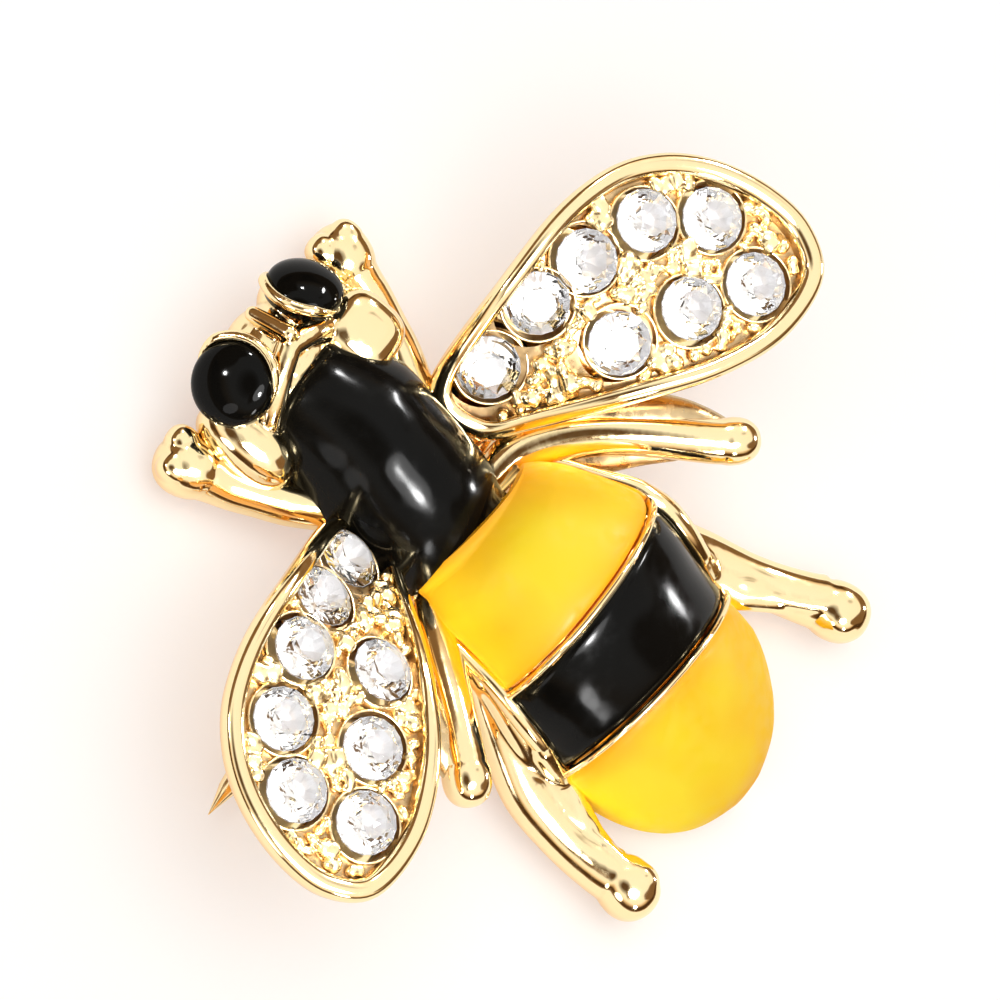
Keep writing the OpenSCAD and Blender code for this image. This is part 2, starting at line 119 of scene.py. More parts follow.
# The head's round masses: middle, half sizes, and how boxy each one is
HEAD_BALLS = (
    ((0, 11.0, 2.3), (2.2, 1.30, 1.40), 0.9), ((0, 11.75, 2.2), (1.2, 0.75, 0.95), 1),
    ((0, 9.9, 2.2), (2.3, 1.1, 1.5), 1), ((2.50, 8.72, 2.80), (1.46, 1.50, 1.28), 0.68),
    ((3.0, 10.0, 1.9), (1.0, 1.3, 0.95), 1), ((-3.15, 9.45, 1.95), (1.12, 2.05, 1.22), 0.85))
# Each gold: its lowest and highest roughness, its ripple, how strongly painted shade
# darkens its creases, and how far it goes from the pale gold to SHADE_GOLD, a painted deep shade
GOLDS = {
    "polished_gold": (0.06, 0.13, 0.06, 0.8, 0), "grained_gold": (0.16, 0.32, 0.8, 0.9, 0),
    "recessed_gold": (0.22, 0.4, 0.8, 0.8, 0.35), "shaded_gold": (0.25, 0.45, 0.8, 0.8, 0.66),
    "amber_gold": (0.18, 0.32, 0.12, 0.7, 0.5), "blackened_gold": (0.4, 0.6, 0.4, 0.8, 0.97),
    "wire_gold": (0.12, 0.25, 0.3, 0.2, 0)}
SHADE_GOLD = (0.16, 0.07, 0.015)
RAIL_DROP = 2.2    # the body's rail, in degrees below the enamel's edge
# The camera's own directions, which are the photo's angle, and the point it looks at
CAMERA_RIGHT, CAMERA_UP = (0.54838, -0.73630, 0.39641), (0.75478, 0.63989, 0.14443)
CAMERA_BACK, CAMERA_TARGET = (-0.36, 0.22, 0.90665), (1.20, 0.98, 3.0)
# The studio's dome: height from nadir to zenith, and colour
DOME = ((0.00, (0.34, 0.22, 0.12)), (0.06, (0.18, 0.09, 0.035)), (0.14, (0.05, 0.025, 0.01)),
        (0.32, (0.09, 0.042, 0.016)), (0.43, (0.72, 0.50, 0.31)), (0.56, (1.0, 0.95, 0.88)),
        (1.0, (1.0, 1.0, 1.0)))
# Softboxes that only gloss sees: direction, spread in degrees across and along,
# turn about the direction, and brightness
SOFTBOXES = (
    ("lamp_main", (-0.30, -0.33, 0.89), 11, 9, 0, 200), ("lamp_halo", (-0.28, -0.28, 0.91), 38, 24, 30, 9),
    ("lamp_strip", (0.84, 0.00, 0.54), 5, 15, 20, 130), ("lamp_nose", (0.58, 0.53, 0.62), 5, 5, 0, 240),
    ("lamp_tail", (-0.60, -0.71, 0.38), 9, 14, 0, 26), ("lamp_right", (0.71, -0.65, 0.25), 6, 7, 0, 110),
    ("lamp_left", (-0.42, 0.78, 0.46), 5, 5, 0, 220), ("lamp_wide", (-0.94, 0.13, 0.32), 20, 24, 0, 3))


# ---------------- settings

def length(name, description, default, low, high):
    return FloatProperty(name=name, description=description, default=default*MM,
                         min=low*MM, max=high*MM, precision=5, unit="LENGTH")


def colour(name, description, default):
    return FloatVectorProperty(name=name, description=description, default=default,
                               size=3, min=0, max=1, subtype="COLOR")


def number(name, description, default, low, high, subtype="NONE"):
    return FloatProperty(name=name, description=description, default=default, min=low, max=high,
                         subtype=subtype)


class BodySettings(bpy.types.PropertyGroup):
    thorax_length: length("Thorax length", "From the neck to the waist", 9.2, 8, 10)
    thorax_width: length("Thorax width", "Across the thorax at its widest", 6.8, 6, 8)
    thorax_top: length("Thorax height", "Crown of the thorax above the surface", 5.1, 4.5, 6)
    abdomen_length: length("Abdomen length", "From the waist to the tail", 14.4, 13, 16)
    abdomen_width: length("Abdomen width", "Across the abdomen at its widest", 9.9, 9, 11)
    abdomen_top: length("Abdomen height", "Crown of the abdomen above the surface", 6.9, 6, 7.5)
    waist: length("Waist place", "The waist's distance in front of the middle", 1.017, 0, 2)
    first_line: length("First line", "First gold line behind the waist", 4.3, 4, 4.6)
    second_line: length("Second line", "Second gold line behind the waist", 8.4, 8, 8.8)
    line_width: length("Line width", "Width of a raised gold line", 0.4, 0.2, 0.8)
    enamel_thickness: length("Enamel thickness", "Thickness of a field", 0.5, 0.3, 0.6)
    waist_line: length("Waist line", "Where black meets yellow, before the waist", -0.05, -1, 1)
    lean: length("Lean", "How far the thorax's waist end lies to the right", -0.62, -1, 1)
    slim: length("Slim flank", "How much slimmer the right flank is beside the band", 0.42, 0, 1)
    skew: number("Line skew", "How far the second line runs aslant", 0.09, 0, 0.3)


class WingSettings(bpy.types.PropertyGroup):
    wing_length: length("Wing length", "From the root to the tip", 12.6, 12, 13)
    wing_width: length("Wing width", "Width that the outline is drawn to", 10, 9, 11)
    root_x: length("Root from middle", "Root's distance from the middle line", 2.8, 2, 3)
    root_y: length("Root before waist", "Root's distance in front of the waist", 2.9, 2, 4)
    tip_height: length("Tip height", "Height of the rim at the tip", 6.65, 6, 7)
    drop: length("Root drop", "How far the root lies below the tip", 4.05, 3, 5)
    shoulder: length("Shoulder", "Length over which the wing rises", 3.0, 2, 4)
    rim_width: length("Front rim", "Width of the rim along the front edge", 0.6, 0.4, 0.9)
    rim_tip_width: length("Tip rim", "Width of the rim round the tip", 0.8, 0.5, 1)
    grain_size: length("Grain size", "Radius of a gold grain", 0.33, 0.1, 0.4)
    grain_pitch: length("Grain spacing", "Spacing of the gold grains", 0.46, 0.4, 1)


class StoneSettings(bpy.types.PropertyGroup):
    diameter: length("Stone diameter", "Across the girdle", 2.3, 2, 2.4)
    height: length("Stone height", "From the point to the table", 1.15, 0.8, 1.3)
    sink: length("Sink", "How far the girdle lies below the rim", 0.28, 0, 0.5)
    table: number("Table", "Table width over stone width", 0.56, 0.4, 0.7, "FACTOR")
    # The gap shows the well's gold, darkened as painted shadow
    gap: length("Gap", "Dark gap between a stone and its cup", 0.16, 0.02, 0.2)
    aside: length("Aside", "How far a stone sits off its cup's middle", 0.08, 0, 0.1)
    collar: length("Cup edge", "Thickness of the cup round a stone", 0.10, 0.05, 0.3)


class HeadSettings(bpy.types.PropertyGroup):
    eye_diameter: length("Eye diameter", "Across a cabochon", 2.84, 2, 3)
    eye_x: length("Eye from middle", "An eye's distance from the middle line", 2.18, 2, 3)
    eye_y: length("Eye place", "The eyes' place along the bee", 11.5, 10, 12)
    eye_z: length("Eye height", "Height of the eyes above the surface", 3.45, 3, 4)
    eye_out: number("Eye outwards", "How far an eye looks out to the side", math.radians(35), 0, 1.2,
                    "ANGLE")
    eye_ahead: number("Eye ahead", "How far an eye looks ahead", math.radians(27), 0, 1.2, "ANGLE")
    lip_turn: number("Lip turn", "Where a socket's lip is thickest", math.radians(20), -3.2, 3.2, "ANGLE")
    detail: length("Casting detail", "Smallest form kept when the head is fused", 0.07, 0.05, 0.2)


class PinSettings(bpy.types.PropertyGroup):
    wire: length("Wire", "Diameter of the pin wire", 0.8, 0.5, 1)
    height: length("Pin height", "Middle of the wire above the surface", 0.85, 0.6, 1)
    reach: length("Reach", "From the middle line to the point", 14.3, 13, 15)
    post_x: length("Posts", "Each post's distance from the middle line", 9.2, 8, 10)
    post: length("Post", "Diameter of a post", 1.6, 1, 2)


class FinishSettings(bpy.types.PropertyGroup):
    gold: colour("Gold", "Pale gold of the plating", (1.0, 0.79, 0.45))
    # Deep gold of painted shade and reflected warm light, on undersides and in creases
    gold_shade: colour("Deep gold", "Warmer gold of hollows and undersides", (0.86, 0.42, 0.08))
    yellow: colour("Yellow enamel", "Colour of the yellow fields", (1.0, 0.80, 0.020))
    yellow_deep: colour("Deep yellow", "Warmer yellow of the enamel's thicker places", (1.0, 0.62, 0.008))
    # The edge colour is painted shade and painted reflection of the gold next to the metal
    yellow_edge: colour("Yellow at edges", "Warm yellow next to the metal", (0.95, 0.44, 0.004))
    black: colour("Black enamel", "Colour of the black fields", (0.003, 0.003, 0.0027))
    stone: colour("Stone", "Body colour of the cut stones", (1.0, 0.995, 0.99))
    # The foil's colour is also that of its painted glow
    foil: colour("Foil", "Silvering behind the stones", (0.78, 0.79, 0.82))


class StageSettings(bpy.types.PropertyGroup):
    distance: length("Camera distance", "From the camera to the brooch", 500, 200, 1000)
    view_width: length("View width", "Width of the picture at the brooch", 35.714, 30, 60)
    floor: colour("Floor", "Colour of the surface", (0.60, 0.595, 0.59))
    glow: colour("Floor glow", "Light that the backlit surface gives off", (0.43, 0.43, 0.43))
    sky: number("Sky strength", "Brightness of the studio's dome", 1.1, 0, 4)
    fill: number("Fill strength", "Brightness of the soft overhead light", 0.65, 0, 4)
    lamps: number("Lamp strength", "Brightness of the softboxes", 1.1, 0, 4)
    seed: IntProperty(name="Seed", description="Start of every random draw", default=7)


GROUPS = (("bee_body", BodySettings), ("bee_wing", WingSettings), ("bee_stone", StoneSettings),
          ("bee_head", HeadSettings), ("bee_pin", PinSettings), ("bee_finish", FinishSettings),
          ("bee_stage", StageSettings))


def sizes(group):
    """The lengths of a settings group in millimetres, other values as they are."""
    settings = getattr(bpy.context.scene, group)
    found = {}
    for name, prop in settings.bl_rna.properties.items():
        if name in ("rna_type", "name"):
            continue
        value = getattr(settings, name)
        value = tuple(value) if prop.type == "FLOAT" and prop.is_array else value
        found[name] = value/MM if getattr(prop, "unit", "NONE") == "LENGTH" else value
    return type("Sizes", (), found)


# ---------------- mesh tools

def even(a, b, n):
    return [a + (b - a)*k/(n - 1) for k in range(n)]


def circle(n):
    """n angles spread evenly round a circle."""
    return [2*math.pi*k/n for k in range(n)]


def within(v):
    """v, held between 0 and 1."""
    return min(max(v, 0), 1)


def smooth_rows(rows, steps, closed=False):
    """Points on a smooth curve through rows of numbers."""
    rows = [np.array(r, float) for r in rows]
    n = len(rows)
    found = []
    for i in range(n if closed else n - 1):
        p, q, r, s = [rows[k % n if closed else min(max(k, 0), n - 1)] for k in range(i - 1, i + 3)]
        for t in (k/steps for k in range(steps)):
            found.append(tuple(0.5*(2*q + (r - p)*t + (2*p - 5*q + 4*r - s)*t*t
                                    + (3*q - p - 3*r + s)*t**3)))
    return found if closed else found + [tuple(rows[-1])]


class Shape:
    """Points and faces in millimetres, gathered before they become a mesh."""

    def __init__(self, points=(), faces=()):
        self.points, self.faces = [], []
        self.add(points, faces)

    def add(self, points, faces):
        start = len(self.points)
        self.points.extend(tuple(p) for p in points)
        self.faces.extend(tuple(i + start for i in f) for f in faces)
        return self

    def loft(self, rings, capped=True):
        """Skins closed rings that all have as many points."""
        n, last = len(rings[0]), (len(rings) - 1)*len(rings[0])
        faces = [(i*n + j, i*n + (j + 1) % n, (i + 1)*n + (j + 1) % n, (i + 1)*n + j)
                 for i in range(len(rings) - 1) for j in range(n)]
        if capped:
            faces += [tuple(range(n - 1, -1, -1)), tuple(range(last, last + n))]
        return self.add([p for ring in rings for p in ring], faces)

    def tube(self, path, halves, sides=16, up=(0, 0, 1)):
        """Sweeps an ellipse along a path. Its half width and half height are one
        pair, or a list with a pair for each point."""
        path = [Vector(p) for p in path]
        halves = [halves]*len(path) if isinstance(halves, tuple) else halves
        rings = []
        for i, (p, (a, b)) in enumerate(zip(path, halves)):
            ahead = (path[min(i + 1, len(path) - 1)] - path[max(i - 1, 0)]).normalized()
            side = ahead.cross(Vector(up)).normalized()
            top = side.cross(ahead).normalized()
            rings.append([p + side*a*math.cos(t) + top*b*math.sin(t) for t in circle(sides)])
        return self.loft(rings)

    def capsule(self, p, q, r, s):
        """A round-ended bar from p to q, its radius going from r to s."""
        p, q = Vector(p), Vector(q)
        way = (q - p).normalized()
        arc = even(0, math.pi/2, 7)
        path = [p - way*r*math.cos(t) for t in arc] + [q + way*s*math.sin(t) for t in arc]
        radii = [max(r*math.sin(t), 0.004) for t in arc] + [max(s*math.cos(t), 0.004) for t in arc]
        self.tube(path, [(v, v) for v in radii], 20)

    def lathe(self, profile, place, matrix, sides, capped=True):
        """Turns a profile of radius and height round its own Z."""
        return self.loft([[matrix @ Vector((r*math.cos(t), r*math.sin(t), z)) + Vector(place)
                           for t in circle(sides)] for r, z in profile], capped)

    def ball(self, place, half, turn=Matrix.Identity(3), square=1.0, sides=28):
        """An ellipsoid; square below 1 makes it boxier."""
        def power(v):
            return math.copysign(abs(v)**square, v)

        rings = []
        for i in range(sides//2 + 1):
            t = math.pi*(i/(sides//2) - 0.5)*0.998
            rings.append([turn @ Vector((half[0]*power(math.cos(t))*power(math.cos(p)),
                                         half[1]*power(math.cos(t))*power(math.sin(p)),
                                         half[2]*power(math.sin(t)))) + Vector(place)
                          for p in circle(sides)])
        self.loft(rings)

    def moved(self, matrix):
        return Shape([matrix @ Vector(p) for p in self.points], self.faces)

    def mirrored(self):
        """The same shape on the bee's other side."""
        return Shape([(-x, y, z) for x, y, z in self.points], [f[::-1] for f in self.faces])

    def build(self, name):
        mesh = bpy.data.meshes.new(name)
        mesh.from_pydata([tuple(c*MM for c in p) for p in self.points], [], self.faces)
        mesh.update()
        work = bmesh.new()
        work.from_mesh(mesh)
        bmesh.ops.recalc_face_normals(work, faces=work.faces)
        work.to_mesh(mesh)
        work.free()
        return place_object(name, mesh)


def place_object(name, data):
    piece = bpy.data.objects.new(name, data)
    bpy.context.scene.collection.objects.link(piece)
    return piece


def dress(piece, finish_name, nodes=("casting",), smooth=True, sharp=None):
    """Gives a piece its finish, its shading and its body, and hides the imported parts that it stands in
    for.
    """
    piece.data.materials.clear()
    piece.data.materials.append(finish(finish_name))
    for face in piece.data.polygons:
        face.use_smooth = smooth
    if sharp is not None:
        piece.data.set_sharp_from_angle(angle=math.radians(sharp))
    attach(piece, "root")
    for node in nodes:
        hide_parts(node)
    return piece


def fuse(piece, voxel, smoothing):
    """Fuses the overlapping solids of a piece into one smooth skin."""
    remesh = piece.modifiers.new("fuse", "REMESH")
    remesh.mode = "VOXEL"
    remesh.voxel_size = voxel*MM
    relax = piece.modifiers.new("relax", "SMOOTH")
    relax.factor = 0.5
    relax.iterations = smoothing
    bpy.context.view_layer.update()
    evaluated = piece.evaluated_get(bpy.context.evaluated_depsgraph_get())
    piece.data = bpy.data.meshes.new_from_object(evaluated)
    piece.data.name = piece.name
    piece.modifiers.clear()
    return piece


# ---------------- body forms

class Trunk:
    """The thorax or the abdomen, read smoothly at any place along it."""
    lean_end = 0.62    # share of the length at which the lean ends
    slim_middle, slim_reach = 0.5, 0.24    # where the slim flank lies

    def __init__(self, rows, length_mm, width, top, waist, way, lean=0.0, slim=0.0):
        table = np.array(rows, float)
        self.places, self.columns = table[:, 0], table[:, 1:]*(width, top, top, top, 1)
        self.slopes = np.gradient(self.columns, self.places, axis=0)
        self.length, self.waist, self.way = length_mm, waist, way
        self.lean, self.slim = lean, slim

    def at(self, y):
        share = within(self.way*(y - self.waist)/self.length)
        i = int(min(max(np.searchsorted(self.places, share) - 1, 0), len(self.places) - 2))
        h = self.places[i + 1] - self.places[i]
        t = (share - self.places[i])/h
        a, b = self.columns[i], self.columns[i + 1]
        return (a*(2*t**3 - 3*t**2 + 1) + b*(3*t**2 - 2*t**3)
                + h*self.slopes[i]*(t**3 - 2*t**2 + t) + h*self.slopes[i + 1]*(t**3 - t**2)).tolist()

    def edge(self, y):
        """The enamel's edge in degrees above the widest line."""
        return self.at(y)[4]

    def point(self, y, angle, inset=0.0):
        half, under, middle, crown, _ = self.at(y)
        a = math.radians(angle)
        share = abs(y - self.waist)/self.length
        x = (half - inset)*math.cos(a) + self.lean*max(0, 1 - (share/self.lean_end)**2)
        x -= self.slim*max(0, math.cos(a))*max(0, 1 - ((share - self.slim_middle)/self.slim_reach)**2)
        if math.sin(a) > 0:
            return (x, y, middle + (crown - middle - inset)*math.sin(a))
        return (x, y, middle + (middle - under)*math.sin(a))

    def flank(self, y, side, angle, out):
        """A point that stands out on the right (side 1) or on the left (side -1)."""
        return self.point(y, angle if side > 0 else 180 - angle, -out)


def trunks():
    b = sizes("bee_body")
    return (Trunk(THORAX_ROWS, b.thorax_length, b.thorax_width, b.thorax_top, b.waist, 1, lean=b.lean),
            Trunk(ABDOMEN_ROWS, b.abdomen_length, b.abdomen_width, b.abdomen_top, b.waist, -1,
                  slim=b.slim))


def borders():
    """The places of the body's border lines, as functions of the distance from
    the middle line."""
    b = sizes("bee_body")
    lap, slant = 0.30, 0.09
    return {
        "neck": lambda x: b.waist + b.thorax_length - 0.45,
        "thorax_end": lambda x: b.waist + b.waist_line - lap - slant*x,
        "front_start": lambda x: b.waist + b.waist_line + lap - slant*x,
        "first": lambda x: b.waist - b.first_line,
        "second": lambda x: b.waist - b.second_line - 0.1 - b.skew*x,
        "tail": lambda x: b.waist - b.abdomen_length + 0.10,
    }


def enamel_field(trunk, start, end, along):
    """A closed shell of enamel between two border lines, given as functions of
    the distance from the middle, with its edges turned down to the metal, and
    for each of its points how near an edge it lies."""
    thickness = sizes("bee_body").enamel_thickness
    turn, depth = 0.15, 0.11    # how far in the edge turns down, and how deep
    # The edge's tone is painted shade and painted reflection of the gold, for the yellow fields
    edge_reach = 0.55           # how far in the edge's tone fades
    edge_gap, across = 1.2, 80

    def dip(distance):
        return depth*math.exp(-(max(distance, 0)/turn)**1.3)

    def finer(t):
        return t - 0.11*math.sin(2*math.pi*t)

    rings, near = [], []
    for t in (finer(i/(along - 1)) for i in range(along)):
        outer, inner = [], []
        for q in (finer(k/(across - 1)) for k in range(across)):
            y = start(0) + (end(0) - start(0))*t
            for _ in range(3):
                edge = trunk.edge(y) + edge_gap
                angle = edge + (180 - 2*edge)*q
                x = trunk.point(y, angle)[0]
                y = start(x) + (end(x) - start(x))*t
            to_side = math.radians(min(angle - edge, 180 - edge - angle))*max(trunk.at(y)[0], 0.5)
            to_ends = min(abs(y - start(x)), abs(y - end(x)))
            near.append(math.exp(-min(max(to_side, 0), to_ends)/edge_reach))
            outer.append(trunk.point(y, angle, dip(min(to_side, to_ends))))
            inner.append(trunk.point(y, angle, thickness))
        near += [1.0]*across
        rings.append(outer + inner[::-1])
    return Shape().loft(rings), near


# ---------------- wing forms

class Wing:
    """The right wing's tray, drawn along u and across v from its root."""

    def __init__(self):
        self.s = sizes("bee_wing")
        self.waist = sizes("bee_body").waist
        size = (self.s.wing_length, self.s.wing_width)
        self.stones = [(a*size[0], b*size[1]) for a, b in STONE_ROWS]
        rows = [(a*size[0], b*size[1]) for a, b in WING_ROWS]
        self.outline = [np.array(p) for p in smooth_rows(rows, 8, closed=True)]
        self.inward = []
        for i in range(len(self.outline)):
            d = self.outline[(i + 1) % len(self.outline)] - self.outline[i - 1]
            d = d/np.linalg.norm(d)
            self.inward.append(np.array((d[1], -d[0])))

    def height(self, u):
        s = self.s
        return s.tip_height - s.drop*math.exp(-(max(u, 0)/s.shoulder)**1.4)

    def slope(self, u):
        return math.atan((self.height(u + 0.1) - self.height(u - 0.1))/0.2)

    def point(self, u, v, depth=0.0):
        s = self.s
        return (s.root_x + u, self.waist + s.root_y + v,
                self.height(u) - depth/math.cos(self.slope(u)))

    def flat_ring(self, share):
        """The outline moved in by a share of the rim's width, as u and v."""
        s = self.s
        widths = [s.rim_width + (s.rim_tip_width - s.rim_width)*within(p[0]/s.wing_length)
                  for p in self.outline]
        return [p + way*share*w for p, way, w in zip(self.outline, self.inward, widths)]

    def ring(self, share, depth):
        return [self.point(u, v, depth) for u, v in self.flat_ring(share)]

    def stone_matrix(self, u, v):
        """From a stone's own frame, its girdle at Z 0, to the wing's."""
        return (Matrix.Translation(self.point(u, v))
                @ Matrix.Rotation(-min(self.slope(u), 0.5), 4, "Y"))


def inside(p, ring):
    found = False
    for i, a in enumerate(ring):
        b = ring[i - 1]
        if (a[1] > p[1]) != (b[1] > p[1]):
            if p[0] < (b[0] - a[0])*(p[1] - a[1])/(b[1] - a[1]) + a[0]:
                found = not found
    return found


def add_plate(shape, wing, share, depth, holes=(), hole_radius=1.0):
    """Adds a curved plate inside a ring of the wing, with round holes left open."""
    pitch, sides = 0.45, 28
    ring = wing.flat_ring(share)
    points = [Vector(p) for p in ring]
    n = len(points)
    edges = [(i, (i + 1) % n) for i in range(n)]
    for u, v in holes:
        first = len(points)
        stretch = math.cos(wing.slope(u))
        points += [Vector((u + hole_radius*stretch*math.cos(t), v + hole_radius*math.sin(t)))
                   for t in circle(sides)]
        edges += [(first + k, first + (k + 1) % sides) for k in range(sides)]
    lows, highs = np.min(ring, axis=0), np.max(ring, axis=0)
    for u in np.arange(lows[0], highs[0], pitch):
        for v in np.arange(lows[1], highs[1], pitch):
            if inside((u, v), ring) and all(math.dist((u, v), h) > hole_radius + 0.15 for h in holes):
                points.append(Vector((u, v)))
    verts, _, faces = delaunay_2d_cdt(points, edges, [], 1, 1e-5)[:3]

    def kept(face):
        c = sum((verts[i] for i in face), Vector((0, 0)))/len(face)
        return inside(c, ring) and all(
            math.hypot((c.x - u)/math.cos(wing.slope(u)), c.y - v) >= hole_radius*0.99 for u, v in holes)

    shape.add([wing.point(p.x, p.y, depth) for p in verts], [f for f in faces if kept(f)])


# ---------------- materials

def feed(tree, value, socket):
    """Sets a socket to a number or a colour, or links another socket to it."""
    if isinstance(value, bpy.types.NodeSocket):
        tree.links.new(value, socket)
    else:
        socket.default_value = (*value, 1) if socket.type == "RGBA" else value


def node(tree, kind, inputs, **settings):
    """Adds a shader node and feeds its inputs, which go by name or number."""
    made = tree.nodes.new("ShaderNode" + kind)
    for name, value in settings.items():
        setattr(made, name, value)
    for key, value in inputs.items():
        feed(tree, value, made.inputs[key])
    return made


def maths(tree, operation, *values):
    return node(tree, "Math", dict(enumerate(values)), operation=operation).outputs["Value"]


def mix(tree, factor, a, b):
    return node(tree, "Mix", {0: factor, 6: a, 7: b}, data_type="RGBA").outputs[2]


def spread(tree, value, low, high, to_low=0, to_high=1, way="LINEAR"):
    """Stretches the range from low to high to the range from to_low to to_high."""
    return node(tree, "MapRange", {"Value": value, "From Min": low, "From Max": high, "To Min": to_low,
                                   "To Max": to_high}, interpolation_type=way).outputs["Result"]


def noise(tree, scale, detail):
    """Noise that sticks to the piece."""
    place = node(tree, "TexCoord", {}).outputs["Object"]
    return node(tree, "TexNoise", {"Vector": place, "Scale": scale, "Detail": detail}).outputs["Fac"]


def bump(tree, height, strength, distance):
    return node(tree, "Bump", {"Strength": strength, "Distance": distance*MM, "Height": height}
                ).outputs["Normal"]


def new_group(name, inputs, outputs):
    """Starts a shared node group and returns it with its ways in and out."""
    group = bpy.data.node_groups.new(name, "ShaderNodeTree")
    for label, default in inputs.items():
        socket = group.interface.new_socket(name=label, in_out="INPUT", socket_type="NodeSocketFloat")
        socket.default_value = default
    for label in outputs:
        group.interface.new_socket(name=label, in_out="OUTPUT", socket_type="NodeSocketFloat")
    return group, group.nodes.new("NodeGroupInput").outputs, group.nodes.new("NodeGroupOutput").inputs


def plating_group():
    """Faint cloudiness, fine scratches and ripples of a plated casting."""
    group, come, go = new_group(
        "Plating", {"Cloud scale": 350, "Fine scale": 2600, "Roughness low": 0.05, "Roughness high": 0.16},
        ("Cloud", "Roughness", "Height"))
    cloud, fine = noise(group, come["Cloud scale"], 3), noise(group, come["Fine scale"], 2)
    feed(group, cloud, go["Cloud"])
    feed(group, spread(group, fine, 0.35, 0.7, come["Roughness low"], come["Roughness high"]),
         go["Roughness"])
    feed(group, maths(group, "MULTIPLY_ADD", fine, 0.25, cloud), go["Height"])
    return group


def painted_shade_group():
    """A mask of undersides and creases for painted shade: undersides take a deeper gold as painted shade
    and reflected warm light, creases a darker one.
    """
    group, come, go = new_group(
        "Hollows", {"Underside from": 0.25, "Underside to": -0.55, "Crease": 0.5}, ("Underside", "Crease"))
    geometry = node(group, "NewGeometry", {}).outputs
    height = node(group, "SeparateXYZ", {"Vector": geometry["Normal"]}).outputs["Z"]
    under = spread(group, height, come["Underside from"], come["Underside to"], way="SMOOTHSTEP")
    crease = spread(group, geometry["Pointiness"], 0.5, 0.42)
    feed(group, under, go["Underside"])
    feed(group, maths(group, "MULTIPLY", crease, come["Crease"]), go["Crease"])
    return group


def ripple_group():
    """Slow waves and specks of hand-filled enamel."""
    group, come, go = new_group("Ripple", {"Wave scale": 220, "Speck scale": 1800, "Roughness": 0.06},
                                ("Tone", "Height", "Roughness"))
    wave, speck = noise(group, come["Wave scale"], 1.5), noise(group, come["Speck scale"], 2)
    rougher = maths(group, "MULTIPLY", come["Roughness"], 1.8)
    feed(group, spread(group, wave, 0.40, 0.62), go["Tone"])
    feed(group, wave, go["Height"])
    feed(group, spread(group, speck, 0.4, 0.75, come["Roughness"], rougher), go["Roughness"])
    return group


def place_group(tree, name, **values):
    """Places a shared group, made when it is first needed; returns its outputs."""
    make = {"Plating": plating_group, "Hollows": painted_shade_group, "Ripple": ripple_group}[name]
    inputs = {label.replace("_", " "): value for label, value in values.items()}
    return node(tree, "Group", inputs, node_tree=bpy.data.node_groups.get(name) or make()).outputs


def gold(tree, low, high, ripple, crease, deep):
    f = sizes("bee_finish")
    plating = place_group(tree, "Plating", Roughness_low=low, Roughness_high=high)
    hollows = place_group(tree, "Hollows", Crease=crease)
    # The pale gold, darkened towards the painted shade of SHADE_GOLD by the finish's share
    pale = tuple(c + (d - c)*deep for c, d in zip(f.gold, SHADE_GOLD))
    tone = mix(tree, plating["Cloud"], pale, tuple(min(1, c*1.06) for c in pale))
    # Painted shade: undersides turn to the shade gold, creases darker still
    tone = mix(tree, hollows["Underside"], tone, f.gold_shade)
    tone = mix(tree, hollows["Crease"], tone, tuple(c*0.55 for c in f.gold_shade))
    return {"Metallic": 1, "Base Color": tone, "Roughness": plating["Roughness"],
            "Normal": bump(tree, plating["Height"], ripple, 0.05)}


def enamel(tree, hue, lift, index, rough):
    """Enamel of a named colour, or with waves that are lighter by the lift where
    the colour has no deeper one of its own."""
    f = sizes("bee_finish")
    plain_hue = getattr(f, hue)
    deep_hue = getattr(f, hue + "_deep", tuple(c*lift for c in plain_hue))
    ripple = place_group(tree, "Ripple", Roughness=rough)
    near = node(tree, "Attribute", {}, attribute_name="near_edge").outputs["Fac"]
    tone = mix(tree, ripple["Tone"], plain_hue, deep_hue)
    # Near the metal a yellow field takes its edge colour, painted shade and painted reflection of the gold
    return {"Base Color": mix(tree, near, tone, getattr(f, hue + "_edge", plain_hue)), "IOR": index,
            "Roughness": ripple["Roughness"], "Normal": bump(tree, ripple["Height"], 0.12, 0.06)}


def glass(tree):
    stone = sizes("bee_finish").stone
    ripple = place_group(tree, "Ripple", Speck_scale=5200)
    return {"Transmission Weight": 1, "IOR": 1.56, "Roughness": 0,
            "Base Color": mix(tree, ripple["Tone"], stone, tuple(c*0.985 for c in stone))}


def foil_and_glow(tree):
    foil = sizes("bee_finish").foil
    plating = place_group(tree, "Plating", Roughness_low=0.04, Roughness_high=0.12)
    # The foil glows a little in its own colour: painted light that whitens the stones
    return {"Metallic": 0.35, "Emission Color": foil, "Emission Strength": 0.10,
            "Base Color": mix(tree, plating["Cloud"], foil, tuple(c*0.9 for c in foil)),
            "Roughness": plating["Roughness"]}


def surface(tree):
    s = sizes("bee_stage")
    cloud = node(tree, "TexNoise", {"Scale": 40}).outputs["Fac"]
    return {"Base Color": mix(tree, cloud, s.floor, tuple(c*0.99 for c in s.floor)), "Roughness": 0.9,
            "Specular IOR Level": 0.1, "Emission Color": s.glow, "Emission Strength": 1}


FINISHES = {
    **{name: (gold, values) for name, values in GOLDS.items()},
    "fired_black": (enamel, ("black", 1.6, 1.19, 0.12)), "eye_black": (enamel, ("black", 1.5, 1.19, 0.05)),
    "fired_yellow": (enamel, ("yellow", 1, 1.25, 0.42)), "stone_glass": (glass, ()),
    "foil_silver": (foil_and_glow, ()), "floor_white": (surface, ())}


def finish(name):
    """The material of that name, made when it is first needed."""
    if name not in bpy.data.materials:
        material = bpy.data.materials.new(name)
        material.use_nodes = True
        tree = material.node_tree
        shader = next(n for n in tree.nodes if n.type == "BSDF_PRINCIPLED")
        make, values = FINISHES[name]
        for key, value in make(tree, *values).items():
            feed(tree, value, shader.inputs[key])
    return bpy.data.materials[name]


# ---------------- operators

